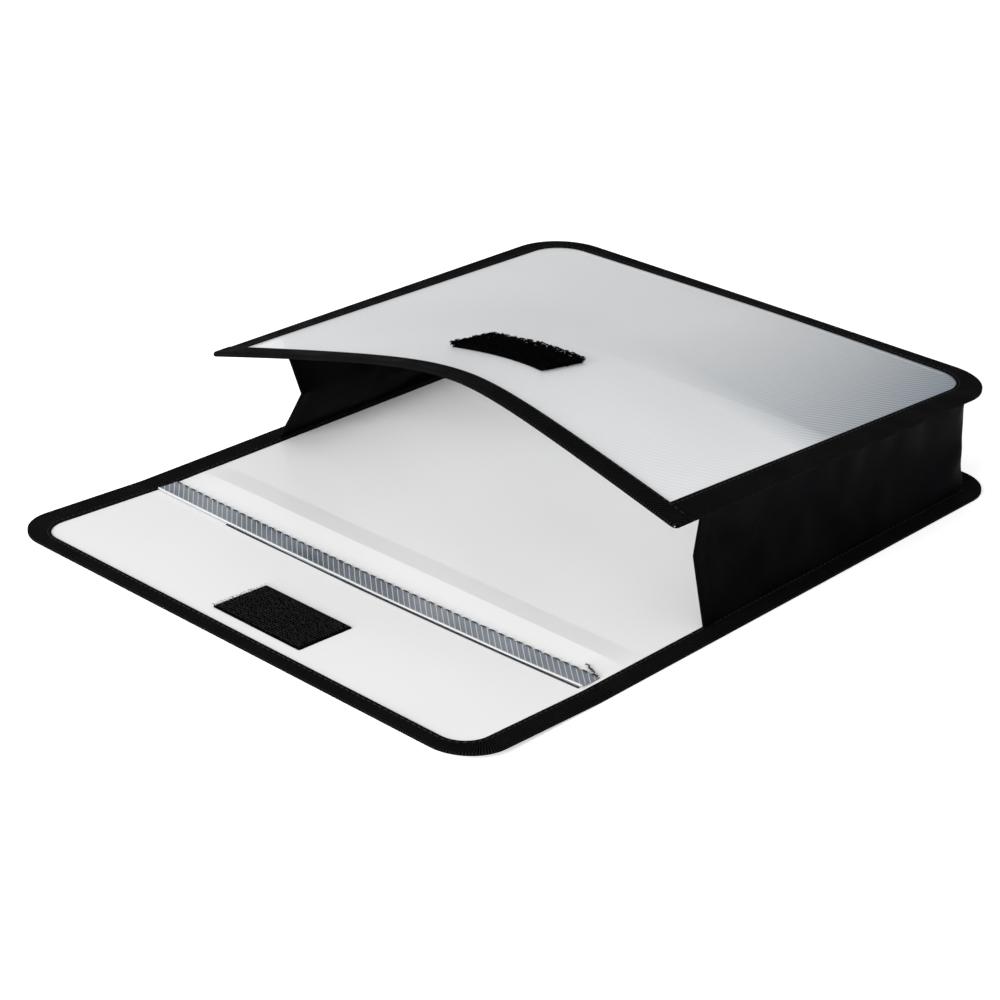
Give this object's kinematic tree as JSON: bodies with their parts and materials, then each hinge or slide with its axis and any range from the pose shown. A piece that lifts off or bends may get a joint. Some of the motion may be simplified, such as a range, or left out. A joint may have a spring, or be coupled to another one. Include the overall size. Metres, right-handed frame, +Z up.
{
  "type": "expanding portfolio case",
  "caption": "Flat expanding case for paper: translucent sheets bound in black tape, fabric gusset on three sides, arched cover and a fold-over flap with a hook-and-loop closure.",
  "frame": {"origin": "centre of the footprint on the ground, with the flap laid out flat", "axes": "+Y to the case's rear edge, -Y to its mouth and flap, +Z up, +X to its right seen from the mouth"},
  "size_m": [0.35, 0.449, 0.1107],
  "materials": {
    "sheet": "translucent white polypropylene sheet",
    "cover_sheet": "frosted translucent sheet with fine ribs",
    "clear_strip": "clear vinyl with fine slanting lines",
    "tape": "black woven binding tape",
    "thread": "black sewing thread",
    "gusset": "smooth black nylon",
    "hook": "black hook tape",
    "loop": "black loop tape"
  },
  "bodies": {
    "base": {"back_panel": "sheet", "back_binding": "tape", "back_binding_seam": "thread", "left_gusset": "gusset", "right_gusset": "gusset", "rear_gusset": "gusset", "left_gusset_hem": "tape", "right_gusset_hem": "tape"},
    "cover": {"front_cover": "cover_sheet", "cover_binding": "tape", "mouth_binding": "tape", "cover_binding_seam": "thread", "mouth_binding_seam": "thread", "loop_patch": "loop"},
    "fold_band": {"band_panel": "sheet", "band_binding_left": "tape", "band_binding_right": "tape", "clear_strip": "clear_strip", "strip_stitching": "thread"},
    "flap": {"flap_panel": "sheet", "flap_binding": "tape", "flap_binding_seam": "thread", "hook_patch": "hook"}
  },
  "joints": [
    {"name": "cover_press", "type": "hinge", "parent": "base", "child": "cover", "pos_m": [0, 0.2135, 0.064], "axis": [1, 0, 0], "range_deg": [-2, 12], "deforming": ["left_gusset", "right_gusset", "left_gusset_hem", "right_gusset_hem"]},
    {"name": "mouth_fold", "type": "hinge", "parent": "base", "child": "fold_band", "pos_m": [0, -0.0805, 0.0018], "axis": [-1, 0, 0], "range_deg": [0, 86]},
    {"name": "flap_fold", "type": "hinge", "parent": "fold_band", "child": "flap", "pos_m": [0, -0.1305, 0.0018], "axis": [-1, 0, 0], "range_deg": [0, 86]}
  ]
}
